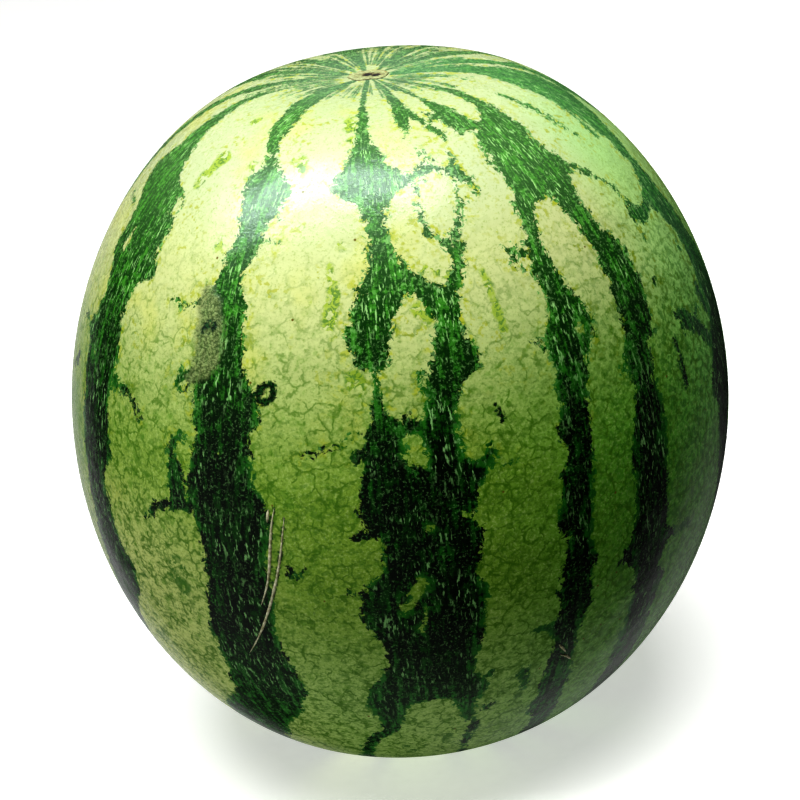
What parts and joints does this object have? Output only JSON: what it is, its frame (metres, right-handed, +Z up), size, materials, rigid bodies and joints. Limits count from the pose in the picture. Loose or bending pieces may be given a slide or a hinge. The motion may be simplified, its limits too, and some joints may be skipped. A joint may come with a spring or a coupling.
{
  "type": "watermelon",
  "caption": "Whole round-oval striped watermelon, a single solid fruit that stands on the flat ring round its stem scar, with a corky blossom scar on its upper end.",
  "frame": {"origin": "middle of the fruit's base, on the plane it rests on", "axes": "+Z up through the fruit from its stem end to its blossom end, -Y towards the side that shows the broad stripes, +X to that side's right"},
  "size_m": [0.25, 0.25, 0.2611],
  "materials": {
    "rind": "waxy satin, pale green with dark green stripes"
  },
  "bodies": {
    "root": {"watermelon": "rind"}
  },
  "joints": []
}
